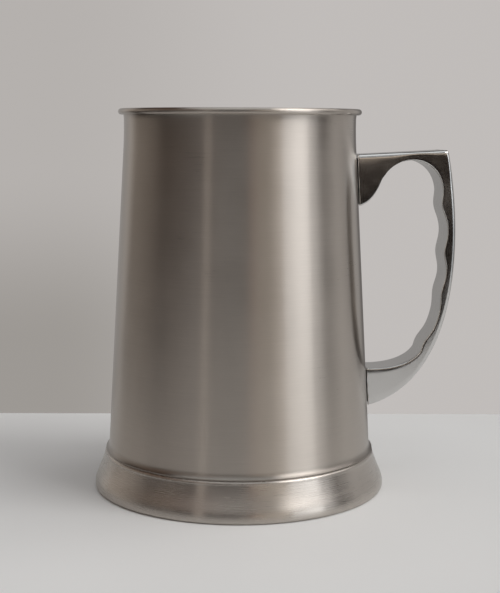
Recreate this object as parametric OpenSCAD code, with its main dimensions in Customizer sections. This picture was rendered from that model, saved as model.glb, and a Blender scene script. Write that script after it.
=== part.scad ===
// One-pint tankard: a spun steel body on a flared base ring, with a cast finger-grip handle.
// Millimetres. The origin is the centre of the foot, +Z is up and the handle points along +X.

/* [View] */

/* [Body] */
// Height from the table to the top of the rim
height = 127; // [124:0.5:140]
// Outside radius of the straight neck under the rim
neck_r = 38.43; // [37.5:0.01:39.5]
// Lean of the body's side from the vertical, in degrees
taper = 3.3; // [3:0.1:3.6]
// Height at which the side starts to curve upright into the neck
taper_top_z = 114; // [113.5:0.5:116]
// Thickness of the body's sheet
sheet_t = 0.6; // [0.5:0.05:0.7]
// Outside radius of the rolled bead at the rim
bead_r = 1.0; // [0.9:0.05:1.1]
// Radius of the small flare below the bead
flare_r = 8.2; // [7:0.1:9]
// Height of the body's lower edge, at the seam with the base ring
seam_z = 13.2; // [12.8:0.1:13.8]
// Radius of the outward curve above that edge
skirt_r = 2.1; // [1.8:0.1:2.4]

/* [Base ring] */
// Radius of the rounded lip at the top of the ring
lip_r = 1.15; // [1:0.05:1.3]
// Radius of the ring at its widest, just above the table
foot_r = 49.2; // [48.6:0.1:50]
// Thickness of the ring's sheet
ring_t = 1.1; // [0.9:0.05:1.3]
// Width of the small rounding between the flat hem and the widest part
toe_w = 0.9; // [0.7:0.1:1.2]
// Height of that rounding
toe_h = 1; // [0.8:0.1:1.2]
// Width of the flat hem that the tankard stands on
hem_w = 1.4; // [1:0.1:1.6]

/* [Floor] */
// Height of the cup's floor
floor_z = 19; // [18:0.1:20]
// Thickness of the floor plate
floor_t = 0.8; // [0.6:0.1:1]
// Radius of the floor plate's turned-down corner
floor_corner_r = 1.6; // [1.2:0.1:2]

/* [Handle] */
// Width of the handle from side to side
handle_w = 12; // [11:0.5:13]
// Height of the thumb rest where it meets the wall
thumb_z = 112.1; // [111.5:0.1:112.5]
// Rise of the thumb rest towards its corner, in degrees
thumb_rise = 2.8; // [2:0.1:3.2]
// Reach of the handle's square corner from the tankard's axis
corner_x = 70.3; // [69.5:0.1:71]
// Rounding of the handle's outer edges
outer_round = 1.5; // [1.2:0.1:1.6]
// Rounding of the handle's inner edges
inner_round = 0.5; // [0.4:0.1:0.6]
// Thickness of the grip at its thinnest, in the middle
grip_t = 2.35; // [2.3:0.05:3]
// Height of the ridges between the finger hollows, as a share of the usual height
ridge_scale = 1; // [0.6:0.05:1.2]

/* [Fixings] */
// Height of the upper screw at the wall
upper_screw_z = 105.2; // [104.8:0.1:105.6]
// Height of the lower screw at the wall
lower_screw_z = 33.4; // [33:0.1:34]
// Radius of the screw's shank
screw_r = 1.95; // [1.9:0.01:1.98]
// Radius of the screw's domed head
head_r = 4; // [3.6:0.1:4.2]
// Height of the screw's domed head
head_h = 2.3; // [2:0.1:2.6]
// Depth of the tapped bore in the upper foot
upper_bore_l = 6; // [5:0.5:6]
// Depth of the tapped bore in the lower foot
lower_bore_l = 8; // [7:0.5:9]
// Thickness of the gasket under each handle foot
gasket_t = 0.5; // [0.4:0.1:0.6]
// Radius of the steel washers
washer_r = 6; // [5.6:0.1:6.2]
// Radius of the soft sealing washers
seal_r = 6.6; // [6.4:0.1:6.8]
// Thickness of the soft sealing washers
seal_t = 1; // [0.8:0.1:1.2]

/* [Hidden] */
$fn = 96;
// Clearance between parts that are seated in one another
seat = 0.03;
// Radius of the tapped bores
bore_r = 2;
// Radius of the clearance holes in wall, washers and gaskets
hole_r = 2.2;
// Radius of the wide curve from the tapered side into the neck
neck_curve_r = 8 / sin(taper);
// Height at which the side stands upright
neck_z = taper_top_z + 8;
// How far the side leans out at the start of that curve
neck_lean = neck_curve_r * (1 - cos(taper));
// Angle through which the rim flares before it curls
flare_a = 20;
// Centre of the rim's bead
bead_z = height - bead_r;
bead_x = neck_r + flare_r - (flare_r + sheet_t - bead_r) * cos(flare_a);
// Height at which the flare starts
flare_z = bead_z - (flare_r + sheet_t - bead_r) * sin(flare_a);
// Angle at which the curled edge stops, just short of the wall
curl_end = -120;
// Angle through which the body's lower edge turns outwards, and the centre of that curve
skirt_end = 240;
skirt_z = seam_z - skirt_r * sin(skirt_end);
skirt_x = neck_r + neck_lean + (taper_top_z - skirt_z + skirt_r * sin(taper)) * tan(taper) + skirt_r * cos(taper);
// Inside radius and top of the ring's collar, which the floor plate rests on
collar_r = 43.2;
collar_z = skirt_z + (skirt_r + sheet_t + seat) * sin(205);
// Distance of a washer's flat front from the outside of the wall
front = sheet_t + seal_t + 1.6;

// Outside radius of the tapered side at height z
function side_r(z) = neck_r + neck_lean + (taper_top_z - z) * tan(taper);

// Points on an arc about c from angle a0 to a1, in n steps
function arc(c, r, a0, a1, n) =
  [for (i = [0:n]) let (a = a0 + (a1 - a0) * i / n) [c[0] + r * cos(a), c[1] + r * sin(a)]];

// A point on the cubic curve through the four control points p
function cubic(p, t) =
  pow(1 - t, 3) * p[0] + 3 * pow(1 - t, 2) * t * p[1] + 3 * (1 - t) * t * t * p[2] + pow(t, 3) * p[3];

// Direction of that curve
function cubic_dir(p, t) =
  let (d = pow(1 - t, 2) * (p[1] - p[0]) + 2 * (1 - t) * t * (p[2] - p[1]) + t * t * (p[3] - p[2]))
  d / norm(d);

// Puts its children on the outside of the wall at height z, with +Z straight out of the wall
module at_wall(z) {
  translate([side_r(z), 0, z]) rotate([0, 90 - taper, 0]) children();
}

// Everything inside the tapered side, grown outwards by d
module inside_side(d) {
  cylinder(h = taper_top_z, r1 = side_r(0) + d, r2 = side_r(taper_top_z) + d, $fn = 288);
}

module screw_hole(z, r) {
  at_wall(z) translate([0, 0, -10]) cylinder(h = 14, r = r);
}

// The face of the body at depth d in the sheet, from its lower edge to the neck
function side_path(d) = concat(
  arc([skirt_x, skirt_z], skirt_r + d, skirt_end, 180 + taper, 7),
  arc([neck_r + neck_curve_r - d, neck_z], neck_curve_r, 180 + taper, 180, 4),
  [[neck_r - d, flare_z]]
);

module body() {
  outside = concat(
    side_path(0),
    arc([neck_r + flare_r, flare_z], flare_r, 176, 180 - flare_a, 4),
    arc([bead_x, bead_z], bead_r - sheet_t, 140, curl_end, 9)
  );
  inside = concat(
    side_path(sheet_t),
    arc([neck_r + flare_r, flare_z], flare_r + sheet_t, 176, 180 - flare_a, 4),
    arc([bead_x, bead_z], bead_r, 145, curl_end, 14)
  );
  color("silver") difference() {
    rotate_extrude() polygon(concat(outside, [for (i = [len(inside) - 1:-1:0]) inside[i]]));
    screw_hole(upper_screw_z, hole_r);
    screw_hole(lower_screw_z, hole_r);
  }
}

module base_ring() {
  nest_r = skirt_r + sheet_t + seat;
  lip = [skirt_x, skirt_z] + (nest_r + lip_r) * [cos(skirt_end + 1.4), sin(skirt_end + 1.4)];
  slope = [[lip[0] + lip_r + 0.03, lip[1] - 0.2], [foot_r - 1.6, 5], [foot_r, 4.2], [foot_r, toe_h + 0.05]];
  sole = foot_r - toe_w;
  outside = concat(
    arc([skirt_x, skirt_z], nest_r, 205, skirt_end, 5),
    arc(lip, lip_r, 56, 0, 6),
    [for (i = [0:14]) cubic(slope, i / 14)],
    [for (a = [-10:-16:-90]) [sole + toe_w * cos(a), toe_h + toe_h * sin(a)]]
  );
  inside = concat(
    [[sole - hem_w, 0], [sole - hem_w - 0.3, 0.3], [sole - hem_w - 0.3, 0.9], [sole - hem_w, 1.2]],
    [for (i = [11:-1:3]) cubic(slope, i / 14) - [ring_t, 0]],
    [[collar_r + 0.5, seam_z - 2.7], [collar_r, seam_z - 2.3], [collar_r, collar_z]]
  );
  color("lightgrey") rotate_extrude() polygon(concat(outside, inside));
}

module bottom_plate() {
  gap = sheet_t + seat;
  corner = side_r(floor_z) - gap - floor_corner_r;
  low_z = collar_z + seat;
  low = side_r(low_z) - gap;
  color("silver") rotate_extrude() polygon(concat(
    [[0, floor_z - floor_t], [0, floor_z]],
    arc([corner, floor_z - floor_corner_r], floor_corner_r, 90, 0, 6),
    [[low, low_z], [low - floor_t, low_z]],
    arc([corner, floor_z - floor_corner_r], floor_corner_r - floor_t, 0, 90, 5)
  ));
}

// The handle's outline is a run of pairs: a point on the outside and its partner on the inside.
corner_z = thumb_z + (corner_x - neck_r) * tan(thumb_rise);
arch_c = [57.7, corner_z - 14.2];
arch_r = 10.8;
gusset = [[36.5, 94.5], [42.2, 94.7], [44.8, 97.6], [47.4, 104]];
spine = [[corner_x + 0.1, corner_z - 1.3], [76.75, 81.95], [75.45, 34.35], [43.85, 26.5]];
spine_end = 0.69;
// Places of the four ridges along the spine, and their heights
ridge_at = [0.175, 0.329, 0.461, 0.655];
ridge_h = [1.5, 1.45, 1, 1.2];

function on_thumb(x) = [x, thumb_z + (x - neck_r) * tan(thumb_rise)];

// A point on the finger arch, a little wider on the side of the wall
function on_arch(a) = arch_c + [(arch_r + (a > 90 ? 0.5 : 0)) * cos(a), arch_r * sin(a)];

// Height of the ridges at t along the spine
function ridges(t, k = 0) =
  k == len(ridge_at) ? 0 : ridge_h[k] * exp(-pow((t - ridge_at[k]) / 0.046, 2)) + ridges(t, k + 1);

// The outside of the grip at t along the spine, and the inside straight across from it
function grip_pair(t) =
  let (p = cubic(spine, t), d = cubic_dir(spine, t))
  [p, p + (grip_t + 10.2 * pow(t - 0.449, 2) + ridge_scale * ridges(t)) * [d[1], -d[0]]];

heel = [grip_pair(spine_end)[1], [60, 42], [53.5, 38.4], [40, 39.8]];

pairs = concat(
  [for (i = [0:6]) let (q = cubic(gusset, i / 6)) [on_thumb(36.5 + (q[0] - 36.5) * 1.12), q]],
  [for (a = [153:-11:54]) [on_thumb(52 + (153 - a) * 0.16), on_arch(a)]],
  [
    [[corner_x - 0.9, corner_z - 0.04], on_arch(45)],
    [[corner_x - 0.25, corner_z - 0.3], on_arch(39)],
    [[corner_x + 0.1, corner_z - 1.3], on_arch(32)],
    [cubic(spine, 0.04), on_arch(22)],
    [cubic(spine, 0.08), on_arch(12)]
  ],
  [for (i = [0:38]) grip_pair(0.122 + (spine_end - 0.122) * i / 38)],
  [for (i = [1:10]) [cubic(spine, spine_end + (1 - spine_end) * i / 10), cubic(heel, i / 10)]],
  [[[41.5, 26], [38, 39.9]]]
);

// One cross-section of the handle: a flat bar between a pair of points, with rounded edges
function section(pair) =
  let (
    o = pair[0],
    n = pair[1],
    len_on = norm(n - o),
    d = (n - o) / len_on,
    half = concat(
      arc([outer_round, handle_w / 2 - outer_round], outer_round, 180, 90, 3),
      arc([len_on - inner_round, handle_w / 2 - inner_round], inner_round, 90, 0, 2)
    ),
    ring = concat(half, [for (i = [len(half) - 1:-1:0]) [half[i][0], -half[i][1]]])
  )
  [for (q = ring) [o[0] + d[0] * q[0], q[1], o[1] + d[1] * q[0]]];

module casting() {
  rings = [for (p = pairs) section(p)];
  m = len(rings[0]);
  n = len(rings);
  polyhedron(
    points = [for (r = rings) each r],
    faces = concat(
      [[for (i = [0:m - 1]) i]],
      [for (k = [0:n - 2]) for (i = [0:m - 1])
        each let (a = k * m + i, b = k * m + (i + 1) % m) [[a, a + m, b + m], [a, b + m, b]]],
      [[for (i = [m - 1:-1:0]) (n - 1) * m + i]]
    )
  );
}

module tapped_bore(z, l) {
  at_wall(z) cylinder(h = gasket_t + l, r = bore_r);
}

module handle() {
  color("gainsboro") difference() {
    casting();
    inside_side(gasket_t + seat);
    tapped_bore(upper_screw_z, upper_bore_l);
    tapped_bore(lower_screw_z, lower_bore_l);
  }
}

// A thin pad that fills the space between a handle foot and the wall
module gasket(screw_z, top, bottom) {
  color("dimgray") difference() {
    intersection() {
      at_wall(screw_z) translate([screw_z - top, 1 - handle_w / 2, -2])
        cube([top - bottom, handle_w - 2, 5]);
      inside_side(gasket_t);
    }
    inside_side(seat);
    screw_hole(screw_z, hole_r);
  }
}

module upper_handle_gasket() {
  gasket(upper_screw_z, thumb_z - 1.2, 95.6);
}

module lower_handle_gasket() {
  gasket(lower_screw_z, 39.2, 27.8);
}

// A domed screw driven from inside the cup, with a cross recess in its head
module screw(z, bore_l) {
  dome_r = (head_r * head_r + head_h * head_h) / (2 * head_h);
  color("silver") at_wall(z) difference() {
    union() {
      translate([0, 0, -front - 0.5]) cylinder(h = front + 0.5 + gasket_t + bore_l - 0.5, r = screw_r);
      translate([0, 0, -front - seat]) mirror([0, 0, 1]) intersection() {
        cylinder(h = head_h, r = head_r);
        translate([0, 0, head_h - dome_r]) sphere(r = dome_r);
      }
    }
    translate([0, 0, -front - head_h]) for (a = [0, 90]) rotate([0, 0, a])
      cube([4.4, 0.9, 2.4], center = true);
  }
}

module upper_handle_screw() {
  screw(upper_screw_z, upper_bore_l);
}

module lower_handle_screw() {
  screw(lower_screw_z, lower_bore_l);
}

// A steel washer with a flat front and a back that follows the seal behind it
module screw_washer(z) {
  color("darkgray") difference() {
    intersection() {
      at_wall(z) translate([0, 0, -front]) cylinder(h = front, r = washer_r);
      inside_side(-sheet_t - seal_t - seat);
    }
    screw_hole(z, hole_r);
  }
}

module upper_screw_washer() {
  screw_washer(upper_screw_z);
}

module lower_screw_washer() {
  screw_washer(lower_screw_z);
}

// A soft washer curved to the inside of the wall
module seal_washer(z) {
  color("dimgray") difference() {
    intersection() {
      at_wall(z) translate([0, 0, -front]) cylinder(h = front, r = seal_r);
      inside_side(-sheet_t - seat);
    }
    inside_side(-sheet_t - seal_t);
    screw_hole(z, hole_r);
  }
}

module upper_seal_washer() {
  seal_washer(upper_screw_z);
}

module lower_seal_washer() {
  seal_washer(lower_screw_z);
}

body();
base_ring();
bottom_plate();
handle();
upper_handle_gasket();
lower_handle_gasket();
upper_handle_screw();
lower_handle_screw();
upper_screw_washer();
lower_screw_washer();
upper_seal_washer();
lower_seal_washer();
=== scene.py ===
"""Looks for the one-pint tankard: brushed steel, a chrome handle and soft studio light."""

import math

import bpy
from mathutils import Matrix, Vector


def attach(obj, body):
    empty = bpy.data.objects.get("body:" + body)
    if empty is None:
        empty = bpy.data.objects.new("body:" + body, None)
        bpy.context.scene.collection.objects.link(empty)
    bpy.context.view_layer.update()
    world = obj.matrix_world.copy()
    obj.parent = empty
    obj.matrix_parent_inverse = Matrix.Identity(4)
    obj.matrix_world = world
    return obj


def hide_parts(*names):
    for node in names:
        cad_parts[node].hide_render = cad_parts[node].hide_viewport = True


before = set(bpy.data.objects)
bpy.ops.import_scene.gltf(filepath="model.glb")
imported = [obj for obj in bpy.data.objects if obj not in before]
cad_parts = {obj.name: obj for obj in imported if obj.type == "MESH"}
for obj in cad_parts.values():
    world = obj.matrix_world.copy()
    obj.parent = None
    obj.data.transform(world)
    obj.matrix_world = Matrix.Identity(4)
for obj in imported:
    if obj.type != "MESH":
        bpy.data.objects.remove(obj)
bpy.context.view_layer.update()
MM = 0.001

# ---------------------------------------------------------------- sizes, in mm, as in the CAD model
SEAT = 0.03  # gap between parts that touch

# body: a tapered sheet that runs upright below the rim, flares out and curls into a bead
HEIGHT = 127.0
NECK_R = 38.43
TAPER = math.radians(3.3)
TAPER_TOP = 114.0
NECK_RUN = 8.0
SHEET = 0.6
BEAD_R = 1.0
FLARE_R = 8.2
FLARE_A = 20.0

# the body's lower edge turns outward and sits in a cove at the top of the base ring
SEAM_Z = 13.2
SKIRT_R = 2.1
SKIRT_END = 240.0
COVE_START = 205.0
LIP_TURN = 1.4
LIP_R = 1.15
FOOT_R = 49.2
RING_T = 1.1
TOE_W = 0.9
TOE_H = 1.0
HEM_W = 1.4
HEM_H = 1.2
HEM_CORNER = 0.3
COLLAR_R = 43.2

FLOOR_Z = 19.0
FLOOR_T = 0.8
FLOOR_ROUND = 1.6

# handle and its two screws
HANDLE_W = 12.0
THUMB_Z = 112.1
THUMB_RISE = math.radians(2.8)
CORNER_X = 70.3
OUTER_ROUND = 1.5
INNER_ROUND = 0.5
GRIP_T = 2.35
UPPER_Z = 105.2
LOWER_Z = 33.4
HOLE_R = 2.2
SCREW_BORE_R = 2.0
UPPER_BORE = 6
LOWER_BORE = 8
GASKET_T = 0.5

NECK_CURVE = NECK_RUN / math.sin(TAPER)
NECK_Z = TAPER_TOP + NECK_RUN
LEAN = NECK_CURVE * (1 - math.cos(TAPER))
BEAD_Z = HEIGHT - BEAD_R
BEAD_X = NECK_R + FLARE_R - (FLARE_R + SHEET - BEAD_R) * math.cos(math.radians(FLARE_A))
FLARE_Z = BEAD_Z - (FLARE_R + SHEET - BEAD_R) * math.sin(math.radians(FLARE_A))
SKIRT_Z = SEAM_Z - SKIRT_R * math.sin(math.radians(SKIRT_END))


def side_r(z):
    """The body's outer radius at height z, on the straight taper."""
    return NECK_R + LEAN + (TAPER_TOP - z) * math.tan(TAPER)


SKIRT_X = side_r(SKIRT_Z - SKIRT_R * math.sin(TAPER)) + SKIRT_R * math.cos(TAPER)
COVE_R = SKIRT_R + SHEET + SEAT
COLLAR_Z = SKIRT_Z + COVE_R * math.sin(math.radians(COVE_START))


def arc(c, r, a0, a1, n):
    """Points on an arc about c from a0 to a1 degrees."""
    steps = [math.radians(a0 + (a1 - a0) * i / n) for i in range(n + 1)]
    return [(c[0] + r * math.cos(a), c[1] + r * math.sin(a)) for a in steps]


def cubic(p, t):
    """The point at t on the Bezier curve with the four control points p."""
    w = ((1 - t) ** 3, 3 * (1 - t) ** 2 * t, 3 * (1 - t) * t * t, t**3)
    return tuple(sum(w[k] * p[k][i] for k in range(4)) for i in (0, 1))


def cubic_dir(p, t):
    """The unit direction of that curve at t."""
    w = ((1 - t) ** 2, 2 * (1 - t) * t, t * t)
    d = [sum(w[k] * (p[k + 1][i] - p[k][i]) for k in range(3)) for i in (0, 1)]
    n = math.hypot(*d)
    return d[0] / n, d[1] / n


def line(a, b, n):
    """Points on a straight line from a to b, in n steps."""
    return [(a[0] + (b[0] - a[0]) * i / n, a[1] + (b[1] - a[1]) * i / n) for i in range(n + 1)]


# ---------------------------------------------------------------- meshes
def make_object(name, verts, faces, sharp=35):
    """A smooth-shaded object from points in mm. Edges above sharp degrees stay crisp."""
    mesh = bpy.data.meshes.new(name)
    mesh.from_pydata([(x * MM, y * MM, z * MM) for x, y, z in verts], [], faces)
    mesh.validate()
    mesh.polygons.foreach_set("use_smooth", [True] * len(mesh.polygons))
    mesh.set_sharp_from_angle(angle=math.radians(sharp))
    obj = bpy.data.objects.new(name, mesh)
    bpy.context.scene.collection.objects.link(obj)
    return obj


def lathe(name, profile, n):
    """A closed outline of (radius, height) points turned round Z in n steps."""
    verts, rings, faces = [], [], []
    for r, z in profile:
        if r < 1e-6:
            rings.append([len(verts)] * n)
            verts.append((0, 0, z))
        else:
            rings.append(list(range(len(verts), len(verts) + n)))
            verts += [
                (r * math.cos(2 * math.pi * k / n), r * math.sin(2 * math.pi * k / n), z)
                for k in range(n)
            ]
    for i, a in enumerate(rings):
        b = rings[(i + 1) % len(rings)]
        if a[0] == a[1] and b[0] == b[1]:
            continue
        for k in range(n):
            quad = [a[k], a[(k + 1) % n], b[(k + 1) % n], b[k]]
            faces.append(list(dict.fromkeys(quad)))
    return make_object(name, verts, faces)


def cut(obj, *cutters):
    """Takes the cutters out of obj and removes them."""
    for c in cutters:
        m = obj.modifiers.new("cut", "BOOLEAN")
        m.object = c
        m.operation = "DIFFERENCE"
        m.solver = "EXACT"
    deps = bpy.context.evaluated_depsgraph_get()
    done = bpy.data.meshes.new_from_object(obj.evaluated_get(deps))
    obj.modifiers.clear()
    old = obj.data
    obj.data = done
    bpy.data.meshes.remove(old)
    done.name = obj.name
    for c in cutters:
        bpy.data.objects.remove(c)
    return obj


def wall_frame(z):
    """Places its object's +Z straight out of the wall at height z."""
    return Matrix.Translation(Vector((side_r(z), 0, z)) * MM) @ Matrix.Rotation(
        math.pi / 2 - TAPER, 4, "Y"
    )


def bore(z, r, z0, z1):
    """A cutter of radius r square to the wall at height z, from z0 to z1 along its normal."""
    outline = [(0, z0), (r, z0), (r, z1), (0, z1)]
    obj = lathe("bore", outline, 48)
    obj.data.transform(wall_frame(z))
    return obj


def side_path(d):
    """The wall's outline from the lower edge to the flare, d inside its outer face."""
    lower = arc((SKIRT_X, SKIRT_Z), SKIRT_R + d, SKIRT_END, 180 + math.degrees(TAPER), 14)
    neck = arc(
        (NECK_R + NECK_CURVE - d, NECK_Z), NECK_CURVE, 180 + math.degrees(TAPER), 180, 12
    )
    return lower + line(lower[-1], neck[0], 40)[1:-1] + neck + [(NECK_R - d, FLARE_Z)]


def build_body():
    """The body's shell, with a hole for each screw of the handle."""
    # both faces of the sheet: wall, flare and rolled bead
    outer = (
        side_path(0)
        + arc((NECK_R + FLARE_R, FLARE_Z), FLARE_R, 177, 180 - FLARE_A, 8)
        + arc((BEAD_X, BEAD_Z), BEAD_R - SHEET, 145, -120, 18)
    )
    inner = (
        side_path(SHEET)
        + arc((NECK_R + FLARE_R, FLARE_Z), FLARE_R + SHEET, 177, 180 - FLARE_A, 8)
        + arc((BEAD_X, BEAD_Z), BEAD_R, 150, -120, 30)
    )
    obj = lathe("body_shell", outer + inner[::-1], 320)
    return cut(obj, bore(UPPER_Z, HOLE_R, -10, 4), bore(LOWER_Z, HOLE_R, -10, 4))


def build_ring():
    """The base ring: cove, lip, slope, toe and hem, back up its inner face to the collar."""
    a = math.radians(SKIRT_END + LIP_TURN)
    lip = (SKIRT_X + (COVE_R + LIP_R) * math.cos(a), SKIRT_Z + (COVE_R + LIP_R) * math.sin(a))
    slope = [
        (lip[0] + LIP_R + 0.03, lip[1] - 0.2),
        (FOOT_R - 1.6, 5),
        (FOOT_R, 4.2),
        (FOOT_R, TOE_H + 0.05),
    ]
    sole = FOOT_R - TOE_W
    toe = [math.radians(-4 - 86 * i / 18) for i in range(19)]
    hem = sole - HEM_W
    back = [cubic(slope, i / 28) for i in range(22, 5, -1)]
    outline = (
        arc((SKIRT_X, SKIRT_Z), COVE_R, COVE_START, SKIRT_END, 10)
        + arc(lip, LIP_R, 58, 0, 12)
        + [cubic(slope, i / 36) for i in range(37)]
        + [(sole + TOE_W * math.cos(t), TOE_H + TOE_H * math.sin(t)) for t in toe]
        + [(hem, 0), (hem - HEM_CORNER, HEM_CORNER), (hem - HEM_CORNER, HEM_H - HEM_CORNER)]
        + [(hem, HEM_H)]
        + [(x - RING_T, z) for x, z in back]
        + [(COLLAR_R + 0.5, SEAM_Z - 2.7), (COLLAR_R, SEAM_Z - 2.3), (COLLAR_R, COLLAR_Z)]
    )
    return lathe("base_flare", outline, 320)


def build_floor():
    """The cup's floor, with a rim turned down to the collar."""
    gap = SHEET + SEAT
    c = (side_r(FLOOR_Z) - gap - FLOOR_ROUND, FLOOR_Z - FLOOR_ROUND)
    low_z = COLLAR_Z + SEAT
    low = side_r(low_z) - gap
    top = line((0, FLOOR_Z), (c[0], FLOOR_Z), 12)[:-1] + arc(c, FLOOR_ROUND, 90, 0, 10)
    under = arc(c, FLOOR_ROUND - FLOOR_T, 0, 90, 6) + [(0, FLOOR_Z - FLOOR_T)]
    return lathe("cup_floor", top + [(low, low_z), (low - FLOOR_T, low_z)] + under, 256)


# ---------------------------------------------------------------- handle
# Its outline is a list of pairs: a point on the outside and its partner on the inside.
CORNER_Z = THUMB_Z + (CORNER_X - NECK_R) * math.tan(THUMB_RISE)
ARCH_C = (57.7, CORNER_Z - 14.2)
ARCH_R = 10.8
GUSSET = [(36.5, 94.5), (42.2, 94.7), (44.8, 97.6), (47.4, 104)]
SPINE = [(CORNER_X + 0.1, CORNER_Z - 1.3), (76.75, 81.95), (75.45, 34.35), (43.85, 26.5)]
SPINE_START, SPINE_END = 0.122, 0.69
# ridges between the fingers: where on the spine, and how high
RIDGES = ((0.175, 1.5), (0.329, 1.45), (0.461, 1.0), (0.655, 1.2))
RIDGE_W = 0.046
# the grip is thinnest here and grows towards both ends
THIN_AT, THICKEN = 0.449, 10.2


def on_thumb(x):
    """The point of the thumb rest's top at x."""
    return x, THUMB_Z + (x - NECK_R) * math.tan(THUMB_RISE)


def on_arch(a):
    """The point at a degrees on the arch under the thumb rest, a little wider towards the wall."""
    r = ARCH_R + (0.5 if a > 90 else 0)
    a = math.radians(a)
    return ARCH_C[0] + r * math.cos(a), ARCH_C[1] + ARCH_R * math.sin(a)


def grip_pair(t):
    """The point at t on the spine and its partner on the finger side."""
    p, d = cubic(SPINE, t), cubic_dir(SPINE, t)
    depth = GRIP_T + THICKEN * (t - THIN_AT) ** 2
    depth += sum(h * math.exp(-(((t - at) / RIDGE_W) ** 2)) for at, h in RIDGES)
    return p, (p[0] + depth * d[1], p[1] - depth * d[0])


def handle_pairs():
    # the upper foot
    pairs = []
    for i in range(7):
        q = cubic(GUSSET, i / 6)
        pairs.append((on_thumb(36.5 + (q[0] - 36.5) * 1.12), q))
    # the arch under the thumb rest, then the square corner
    for a in range(153, 53, -11):
        pairs.append((on_thumb(52 + (153 - a) * 0.16), on_arch(a)))
    pairs += [
        ((CORNER_X - 0.9, CORNER_Z - 0.04), on_arch(45)),
        ((CORNER_X - 0.25, CORNER_Z - 0.3), on_arch(39)),
        ((CORNER_X + 0.1, CORNER_Z - 1.3), on_arch(32)),
        (cubic(SPINE, 0.04), on_arch(22)),
        (cubic(SPINE, 0.08), on_arch(12)),
    ]
    # the grip, then the lower foot
    pairs += [grip_pair(SPINE_START + (SPINE_END - SPINE_START) * i / 38) for i in range(39)]
    heel = [grip_pair(SPINE_END)[1], (60, 42), (53.5, 38.4), (40, 39.8)]
    for i in range(1, 11):
        pairs.append((cubic(SPINE, SPINE_END + (1 - SPINE_END) * i / 10), cubic(heel, i / 10)))
    return pairs + [((41.5, 26), (38, 39.9))]


def between(t, a, b, ta, tb):
    """The point at t on the line that is at a when t is ta and at b when t is tb."""
    return tuple(((tb - t) * a[i] + (t - ta) * b[i]) / (tb - ta) for i in (0, 1))


def smooth_path(pts, per):
    """A smooth curve through pts, with per points for each stretch."""
    ends = [tuple(2 * pts[0][i] - pts[1][i] for i in (0, 1))]
    p = ends + pts + [tuple(2 * pts[-1][i] - pts[-2][i] for i in (0, 1))]
    knots = [0.0]
    for a, b in zip(p, p[1:]):
        knots.append(knots[-1] + max(math.dist(a, b), 1e-4) ** 0.5)
    out = []
    for k in range(1, len(p) - 2):
        t0, t1, t2, t3 = knots[k - 1 : k + 3]
        for s in range(per):
            t = t1 + (t2 - t1) * s / per
            a1 = between(t, p[k - 1], p[k], t0, t1)
            a2 = between(t, p[k], p[k + 1], t1, t2)
            a3 = between(t, p[k + 1], p[k + 2], t2, t3)
            b1 = between(t, a1, a2, t0, t2)
            b2 = between(t, a2, a3, t1, t3)
            out.append(between(t, b1, b2, t1, t2))
    return out + [pts[-1]]


def handle_section(length):
    """The handle's outline across one pair: depth from the outside, and across its width."""
    side = HANDLE_W / 2
    half = arc((OUTER_ROUND, side - OUTER_ROUND), OUTER_ROUND, 180, 90, 8)
    half += line(half[-1], (length - INNER_ROUND, side), 6)[1:-1]
    half += arc((length - INNER_ROUND, side - INNER_ROUND), INNER_ROUND, 90, 0, 5)
    half = [(0, 0)] + line((0, 0), half[0], 3)[1:-1] + half
    half += line(half[-1], (length, 0), 3)[1:]
    return half + [(x, -y) for x, y in half[-2:0:-1]]


def build_handle():
    """The casting, cut back to the wall and bored for its screws."""
    pairs = handle_pairs()
    outs = smooth_path([p[0] for p in pairs], 5)
    ins = smooth_path([p[1] for p in pairs], 5)
    verts = []
    for o, i in zip(outs, ins):
        length = math.dist(o, i)
        d = ((i[0] - o[0]) / length, (i[1] - o[1]) / length)
        verts += [(o[0] + d[0] * x, y, o[1] + d[1] * x) for x, y in handle_section(length)]
    n = len(outs)
    m = len(verts) // n
    faces = [
        [k * m + i, (k + 1) * m + i, (k + 1) * m + (i + 1) % m, k * m + (i + 1) % m]
        for k in range(n - 1)
        for i in range(m)
    ]
    faces += [list(range(m)), [(n - 1) * m + i for i in range(m - 1, -1, -1)]]
    # the feet end at the gaskets, so the cutter is the wall grown by a gasket
    low, high, gap = 10, 126, GASKET_T + SEAT
    cone = [(0, low), (side_r(low) + gap, low), (side_r(TAPER_TOP) + gap, TAPER_TOP)]
    cone += [(side_r(TAPER_TOP) + gap, high), (0, high)]
    return cut(
        make_object("handle_casting", verts, faces),
        lathe("wall", cone, 720),
        bore(UPPER_Z, SCREW_BORE_R, 0, GASKET_T + UPPER_BORE),
        bore(LOWER_Z, SCREW_BORE_R, 0, GASKET_T + LOWER_BORE),
    )


# ---------------------------------------------------------------- material helpers
def scaled(colour, by):
    return tuple(c * by for c in colour)


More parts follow.
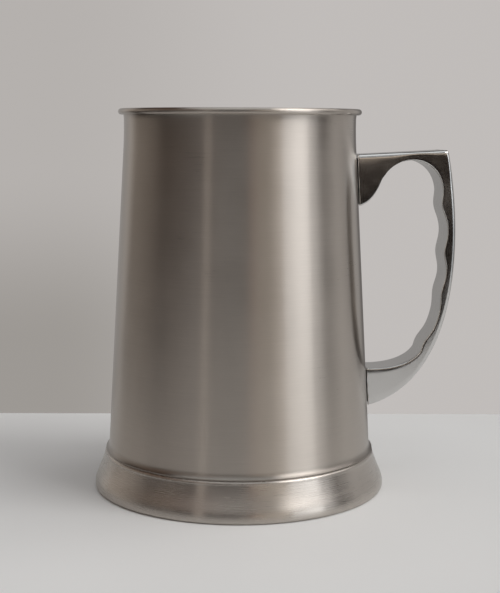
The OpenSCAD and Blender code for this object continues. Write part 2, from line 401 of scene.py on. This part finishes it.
class Nodes:
    """Short calls for building a node tree."""

    def __init__(self, tree):
        self.tree = tree
        tree.nodes.clear()

    def add(self, kind, **inputs):
        node = self.tree.nodes.new(kind)
        for key, value in inputs.items():
            self.put(node, key.replace("_", " "), value)
        return node

    def put(self, node, key, value):
        """Links a socket or sets a plain value. A key of digits is the input's place."""
        socket = node.inputs[int(key) if key.isdigit() else key]
        if isinstance(value, bpy.types.NodeSocket):
            self.tree.links.new(value, socket)
        else:
            socket.default_value = value

    def math(self, op, a, b=0.0, c=0.0):
        node = self.tree.nodes.new("ShaderNodeMath")
        node.operation = op
        for i, v in enumerate((a, b, c)):
            self.put(node, str(i), v)
        return node.outputs[0]

    def weigh(self, a, b, share):
        """a and b added up, with a's share given."""
        rest = self.math("MULTIPLY", b, 1 - share)
        return self.math("ADD", self.math("MULTIPLY", a, share), rest)

    def ramp(self, value, lo, hi, out0=0.0, out1=1.0):
        """A smooth step from out0 at lo to out1 at hi."""
        node = self.tree.nodes.new("ShaderNodeMapRange")
        node.interpolation_type = "SMOOTHSTEP"
        for key, v in zip(
            ("Value", "From Min", "From Max", "To Min", "To Max"), (value, lo, hi, out0, out1)
        ):
            self.put(node, key, v)
        return node.outputs["Result"]

    def mix(self, fac, a, b, blend="MIX"):
        node = self.tree.nodes.new("ShaderNodeMix")
        node.data_type = "RGBA"
        node.blend_type = blend
        self.put(node, "0", fac)
        for key, v in (("6", a), ("7", b)):
            self.put(node, key, v if isinstance(v, bpy.types.NodeSocket) else (*v, 1))
        return node.outputs[2]

    def vary(self, pattern, lo, hi, colour, dark, light):
        """The colour, times dark where the pattern is below lo and times light above hi."""
        return self.mix(self.ramp(pattern, lo, hi), scaled(colour, dark), scaled(colour, light))

    def noise(self, vector, scale, detail=3.0, rough=0.5):
        node = self.add("ShaderNodeTexNoise", Vector=vector, Scale=scale, Detail=detail)
        node.inputs["Roughness"].default_value = rough
        return node.outputs["Fac"]


def new_material(name):
    mat = bpy.data.materials.new(name)
    mat.use_nodes = True
    return mat, Nodes(mat.node_tree)


def round_coords(nd, across, along):
    """Texture coordinates on a turned part, stretched round its axis, with position and x, y, z."""
    pos = nd.add("ShaderNodeTexCoord").outputs["Object"]
    xyz = nd.add("ShaderNodeSeparateXYZ", Vector=pos).outputs
    squares = [nd.math("MULTIPLY", v, v) for v in (xyz[0], xyz[1])]
    r = nd.math("SQRT", nd.math("ADD", *squares))
    ux, uy = [nd.math("DIVIDE", v, nd.math("MAXIMUM", r, 1e-4)) for v in (xyz[0], xyz[1])]
    h = nd.math("ADD", nd.math("MULTIPLY", xyz[2], along), nd.math("MULTIPLY", r, along * 0.6))
    out = nd.add("ShaderNodeCombineXYZ")
    for i, v in enumerate((nd.math("MULTIPLY", ux, across), nd.math("MULTIPLY", uy, across), h)):
        nd.put(out, str(i), v)
    return out.outputs[0], pos, xyz


def brushed(name, colour, rough, aniso, painted_low_shade=None, painted_crease_shade=None):
    """Brushed steel with the grain running round the part.

    The last two arguments are pairs of heights in metres: below the first the steel is painted
    a little darker, a painted shade low on the body, and below the second much darker, a painted
    shade in the crease at the seam."""
    mat, nd = new_material(name)
    lines, pos, xyz = round_coords(nd, 3.0, 9000.0)
    fine = nd.noise(lines, 1.0, 4.0, 0.7)
    cloud = nd.noise(pos, 38.0, 3.0, 0.55)
    base = nd.vary(nd.weigh(fine, cloud, 0.6), 0.35, 0.65, colour, 0.95, 1.05)
    # painted shade: the steel is painted a little darker towards the bottom of the body
    if painted_low_shade:
        low_shade_mix = nd.mix(nd.ramp(xyz[2], *painted_low_shade), (0.935, 0.935, 0.93), (1.0, 1.0, 1.0))
        base = nd.mix(1.0, base, low_shade_mix, "MULTIPLY")
    # painted shade: the steel is painted much darker in the crease at the seam
    if painted_crease_shade:
        base = nd.mix(nd.ramp(xyz[2], *painted_crease_shade), scaled(colour, 0.66), base)
    roughness = nd.ramp(nd.weigh(fine, cloud, 0.5), 0.3, 0.7, rough - 0.04, rough + 0.04)
    bump = nd.add("ShaderNodeBump", Strength=0.05, Distance=0.00003, Height=fine)
    tangent = nd.tree.nodes.new("ShaderNodeTangent")
    tangent.direction_type = "RADIAL"
    tangent.axis = "Z"
    p = nd.add("ShaderNodeBsdfPrincipled", Metallic=1.0, Roughness=roughness)
    nd.put(p, "Base Color", base)
    nd.put(p, "Anisotropic", aniso)
    nd.put(p, "Anisotropic Rotation", 0.25)
    nd.put(p, "Tangent", tangent.outputs[0])
    nd.put(p, "Normal", bump.outputs[0])
    nd.add("ShaderNodeOutputMaterial", Surface=p.outputs[0])
    return mat


def chrome(name, colour, rough):
    """Bright plate over a casting: faint orange peel, light wear where fingers touch."""
    mat, nd = new_material(name)
    pos = nd.add("ShaderNodeTexCoord").outputs["Object"]
    peel = nd.noise(pos, 260.0, 2.0, 0.4)
    smear = nd.noise(pos, 60.0, 4.0, 0.6)
    roughness = nd.ramp(smear, 0.35, 0.7, rough - 0.03, rough + 0.05)
    base = nd.vary(smear, 0.3, 0.7, colour, 0.96, 1.03)
    bump = nd.add("ShaderNodeBump", Strength=0.06, Distance=0.0001, Height=peel)
    p = nd.add("ShaderNodeBsdfPrincipled", Metallic=1.0, Roughness=roughness)
    nd.put(p, "Base Color", base)
    nd.put(p, "Normal", bump.outputs[0])
    nd.add("ShaderNodeOutputMaterial", Surface=p.outputs[0])
    return mat


def rubber(name, colour):
    """Matt rubber with a fine grit."""
    mat, nd = new_material(name)
    pos = nd.add("ShaderNodeTexCoord").outputs["Object"]
    grit = nd.noise(pos, 900.0, 3.0, 0.6)
    base = nd.vary(grit, 0.3, 0.7, colour, 0.7, 1.4)
    roughness = nd.ramp(grit, 0.3, 0.7, 0.55, 0.75)
    bump = nd.add("ShaderNodeBump", Strength=0.3, Distance=0.0001, Height=grit)
    p = nd.add("ShaderNodeBsdfPrincipled", Roughness=roughness)
    nd.put(p, "Base Color", base)
    nd.put(p, "Normal", bump.outputs[0])
    nd.add("ShaderNodeOutputMaterial", Surface=p.outputs[0])
    return mat


def table_top(name, colour):
    """A plain pale surface with a hardly visible cloudiness."""
    mat, nd = new_material(name)
    pos = nd.add("ShaderNodeTexCoord").outputs["Object"]
    soft = nd.noise(pos, 6.0, 2.0, 0.5)
    base = nd.vary(soft, 0.3, 0.7, colour, 0.985, 1.015)
    p = nd.add("ShaderNodeBsdfPrincipled", Roughness=0.6)
    nd.put(p, "Base Color", base)
    nd.put(p, "Specular IOR Level", 0.3)
    nd.add("ShaderNodeOutputMaterial", Surface=p.outputs[0])
    return mat


# ---------------------------------------------------------------- the tankard
body = build_body()
ring = build_ring()
floor = build_floor()
handle = build_handle()

steel = brushed(
    "brushed_steel_body",
    (0.54, 0.494, 0.45),
    0.31,
    1.0,
    # painted shade, a little darker towards the bottom of the body
    painted_low_shade=(0.02, 0.085),
    # painted shade, much darker in the crease at the seam
    painted_crease_shade=(0.0132, 0.0158),
)
ring_steel = brushed("brushed_steel_ring", (0.5, 0.463, 0.426), 0.27, 0.92)
floor_steel = brushed("brushed_steel_floor", (0.50, 0.48, 0.46), 0.34, 0.8)
handle_plate = chrome("chrome_plate", (0.62, 0.615, 0.605), 0.17)
screw_steel = brushed("turned_steel", (0.55, 0.54, 0.52), 0.25, 0.3)
black_rubber = rubber("black_rubber", (0.03, 0.03, 0.03))

for obj, node, slot, mat in (
    (body, "body", "body_steel", steel),
    (ring, "base_ring", "base_steel", ring_steel),
    (floor, "bottom_plate", "floor_steel", floor_steel),
    (handle, "handle", "handle_chrome", handle_plate),
):
    obj.data.materials.clear()
    obj.data.materials.append(mat)
    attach(obj, "root")
    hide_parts(node)

for name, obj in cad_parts.items():
    if name.endswith("screw") or name.endswith("screw_washer"):
        finish = screw_steel
    elif name.endswith("gasket") or name.endswith("seal_washer"):
        finish = black_rubber
    else:
        continue
    for s in obj.material_slots:
        s.material = finish

# ---------------------------------------------------------------- table, camera and light
TURN = math.radians(7)  # the handle is turned this far away from the camera
TABLE_X = (-210, 420)
TABLE_FRONT, TABLE_BACK = -260, 100.5
TABLE_T, TABLE_EDGE = 24, 1.5


def turned(x, y):
    """A point given across and along the camera's line of sight, in the tankard's own frame."""
    return x * math.cos(TURN) + y * math.sin(TURN), -x * math.sin(TURN) + y * math.cos(TURN)


def build_table():
    """A slab with bevelled front and back edges, its top in the plane the tankard stands on."""
    front, back, t, e = TABLE_FRONT, TABLE_BACK, TABLE_T, TABLE_EDGE
    rows = [(front, -t), (front, -e), (front + e, 0), (back - e, 0), (back, -e), (back, -t)]
    verts = [(*turned(x, y), z) for x in TABLE_X for y, z in rows]
    faces = [[k, k + 1, k + 7, k + 6] for k in range(5)] + [[5, 0, 6, 11]]
    faces += [[5, 4, 3, 2, 1, 0], [6, 7, 8, 9, 10, 11]]
    obj = make_object("table_top", verts, faces, 20)
    obj.data.materials.append(table_top("pale_table", (0.826, 0.829, 0.828)))


build_table()

camera_data = bpy.data.cameras.new("camera")
camera_data.lens = 74.86
camera_data.sensor_width = 36
camera_data.clip_start = 0.01
camera_data.clip_end = 20
camera = bpy.data.objects.new("camera", camera_data)
bpy.context.scene.collection.objects.link(camera)
bpy.context.scene.camera = camera
# distance from the axis and height above the table in metres, then the angles in radians
DISTANCE, EYE = 0.41402, 0.122
PITCH, YAW, ROLL = 0.1388, 0.00856, 0.00416
level = math.cos(PITCH)
ahead = Vector((math.sin(YAW) * level, math.cos(YAW) * level, -math.sin(PITCH)))
right = Vector((math.cos(YAW), -math.sin(YAW), 0))
above = right.cross(ahead)
right, above = (
    right * math.cos(ROLL) + above * math.sin(ROLL),
    above * math.cos(ROLL) - right * math.sin(ROLL),
)
basis = Matrix((right, above, -ahead)).transposed()
spin = Matrix.Rotation(-TURN, 4, "Z")
camera.matrix_world = spin @ Matrix.Translation((0, -DISTANCE, EYE)) @ basis.to_4x4()


def build_world():
    """A plain pale backdrop to the camera, and the soft studio LIGHTS to everything else."""
    world = bpy.data.worlds.new("studio")
    bpy.context.scene.world = world
    world.use_nodes = True
    nd = Nodes(world.node_tree)
    d = nd.add("ShaderNodeTexCoord").outputs["Generated"]
    xyz = nd.add("ShaderNodeSeparateXYZ", Vector=d).outputs
    rx, ry = turned(1, 0)
    cx, cy = turned(0, -1)
    across = nd.math("ADD", nd.math("MULTIPLY", xyz[0], rx), nd.math("MULTIPLY", xyz[1], ry))
    facing = nd.math("ADD", nd.math("MULTIPLY", xyz[0], cx), nd.math("MULTIPLY", xyz[1], cy))
    azimuth = nd.math("MULTIPLY", nd.math("ARCTAN2", across, facing), 180 / math.pi)
    elevation = nd.math("MULTIPLY", nd.math("ARCSINE", xyz[2]), 180 / math.pi)
    behind = nd.math("ARCTAN2", across, nd.math("MULTIPLY", facing, -1.0))
    azimuth_behind = nd.math("MULTIPLY", behind, 180 / math.pi)

    def patch(az, half, edge, lo, hi, soft):
        away = nd.math("ABSOLUTE", nd.math("WRAP", nd.math("SUBTRACT", azimuth, az), 180, -180))
        side = nd.ramp(away, half + edge, half - edge)
        low = nd.ramp(elevation, lo - soft, lo + soft)
        high = nd.ramp(elevation, hi + soft, hi - soft)
        return nd.math("MULTIPLY", side, nd.math("MULTIPLY", low, high))

    # the dim room between the lights
    total = nd.mix(nd.ramp(elevation, -10, 30), (0.014, 0.01, 0.008), (0.034, 0.027, 0.025))
    for az, half, edge, lo, hi, soft, power, tint in LIGHTS:
        lit = nd.tree.nodes.new("ShaderNodeVectorMath")
        lit.operation = "SCALE"
        lit.inputs[0].default_value = tint
        nd.put(lit, "Scale", nd.math("MULTIPLY", patch(az, half, edge, lo, hi, soft), power))
        added = nd.tree.nodes.new("ShaderNodeVectorMath")
        added.operation = "ADD"
        nd.put(added, "0", total)
        nd.put(added, "1", lit.outputs[0])
        total = added.outputs[0]
    studio = nd.add("ShaderNodeBackground", Color=total)
    # a painted shadow: the backdrop is darker to the left, most of all low down
    low_down = nd.ramp(elevation, -2, -10, 0.35, 1.0)
    shade = nd.math("MULTIPLY", nd.ramp(azimuth_behind, 4, -9), low_down)
    wall = nd.mix(shade, (0.53, 0.505, 0.49), (0.335, 0.315, 0.295))
    backdrop = nd.add("ShaderNodeBackground", Color=wall)
    seen = nd.add("ShaderNodeLightPath").outputs["Is Camera Ray"]
    both = nd.add("ShaderNodeMixShader")
    nd.put(both, "0", seen)
    nd.put(both, "1", studio.outputs[0])
    nd.put(both, "2", backdrop.outputs[0])
    nd.add("ShaderNodeOutputWorld", Surface=both.outputs[0])


WHITE, COOL = (0.97, 1.0, 1.03), (0.96, 1.0, 1.02)
WARM, TAN = (1.0, 0.98, 0.96), (1.0, 0.9, 0.8)
AMBER, RUST = (1.0, 0.86, 0.7), (1.0, 0.6, 0.4)
# Each light is a soft-edged patch: azimuth to the right of the camera, half width and edge,
# then lowest and highest elevation and edge, all in degrees, then strength and colour.
LIGHTS = (
    # ceiling, the glow of the tall soft light on the right, and a weak one behind the camera
    (0, 181, 1, 61, 95, 4, 0.98, COOL),
    (64, 21, 9, 35, 58, 6, 5.0, WARM),
    (102, 26, 14, 30, 54, 6, 1.8, WARM),
    (10, 60, 30, 28, 46, 4, 0.55, WARM),
    # the soft light itself at the height of the tankard, with a warm edge to its left
    (55, 13.5, 2.5, 1, 14, 4, 1.9, WHITE),
    (66, 14, 7, -10, 28, 5, 0.6, WHITE),
    (28, 13, 6, 6, 17, 3, 1.05, AMBER),
    (12, 5, 4, 6, 16, 3, 0.45, RUST),
    # the pale wall behind
    (126, 28, 12, -30, 30, 5, 0.43, WARM),
    (-163, 33, 10, -30, 30, 6, 0.34, WARM),
    (-110, 24, 12, 2, 17, 5, 0.34, TAN),
    (-96, 44, 16, 17, 32, 5, 0.22, TAN),
    (-122, 20, 12, 0, 12, 4, 0.22, TAN),
    # a pale upright on the left, and what the surroundings throw back
    (-31, 3.5, 3, 4, 20, 4, 0.6, TAN),
    (-70, 45, 20, 26, 52, 6, 0.15, RUST),
    (-8, 18, 8, 19, 30, 4, 0.17, TAN),
    (60, 14, 8, -40, -8, 5, 0.4, WHITE),
)

build_world()
bpy.context.scene.view_settings.view_transform = "Standard"
